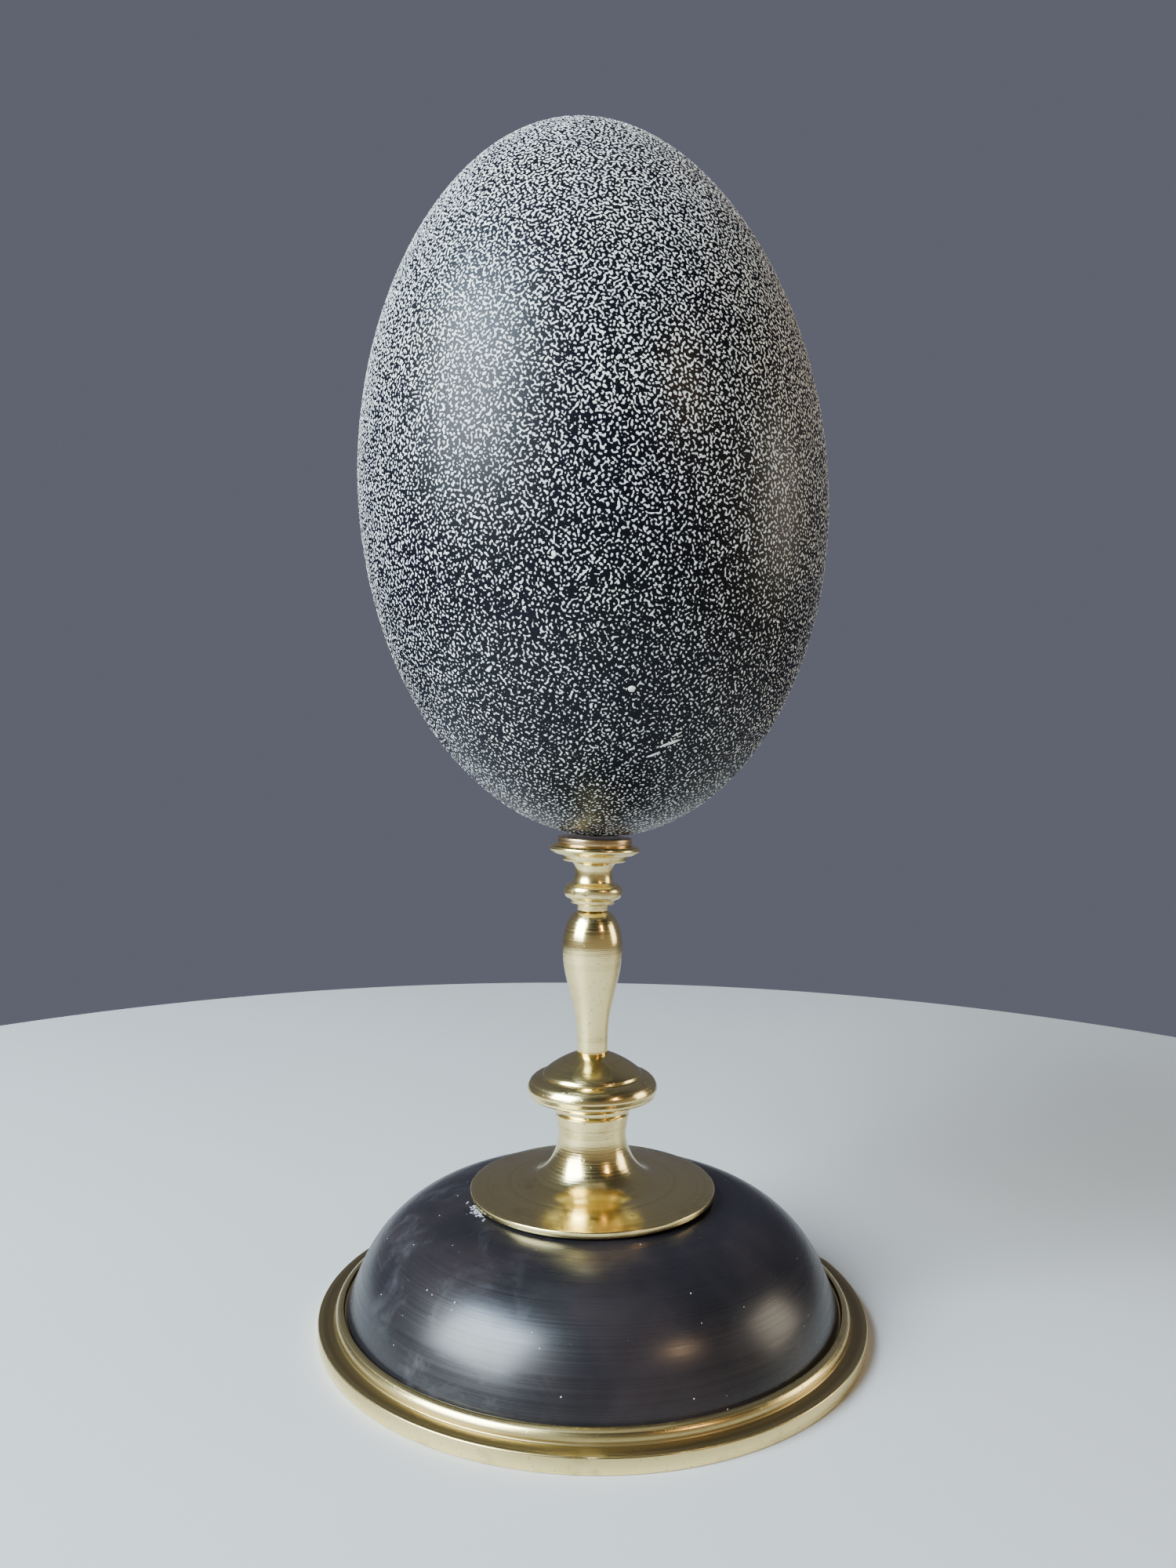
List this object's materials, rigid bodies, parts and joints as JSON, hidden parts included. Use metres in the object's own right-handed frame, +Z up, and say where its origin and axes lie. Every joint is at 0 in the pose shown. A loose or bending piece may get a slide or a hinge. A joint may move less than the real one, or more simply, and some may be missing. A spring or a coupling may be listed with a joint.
{
  "type": "emu egg on stand",
  "caption": "Dark granular emu egg held upright on a slim turned brass stem with a knop and flared foot, on a black dome with a brass rim.",
  "frame": {"origin": "on the surface the stand rests on, at the centre of the round base", "axes": "+Z up the stand to the top of the egg; -Y faces the viewer of the picture; +X to that viewer's right"},
  "size_m": [0.104, 0.104, 0.225],
  "materials": {
    "emu_shell": "raised pale grey granules over a near-black blue-green ground, soft gloss",
    "tarnished_brass": "satin, browned with age",
    "satin_brass": "satin with fine turning lines, small nicks and faint tarnish",
    "polished_brass": "worn polish with fine turning lines and small pits",
    "ebonised_wood": "black, half gloss, scuffed and dusty, with fine turning lines"
  },
  "bodies": {
    "root": {"emu_egg": "emu_shell", "seat_ring": "tarnished_brass", "collar": "satin_brass", "stem": "polished_brass", "knop": "polished_brass", "foot": "polished_brass", "dome": "ebonised_wood", "base_plate": "satin_brass"}
  },
  "joints": []
}
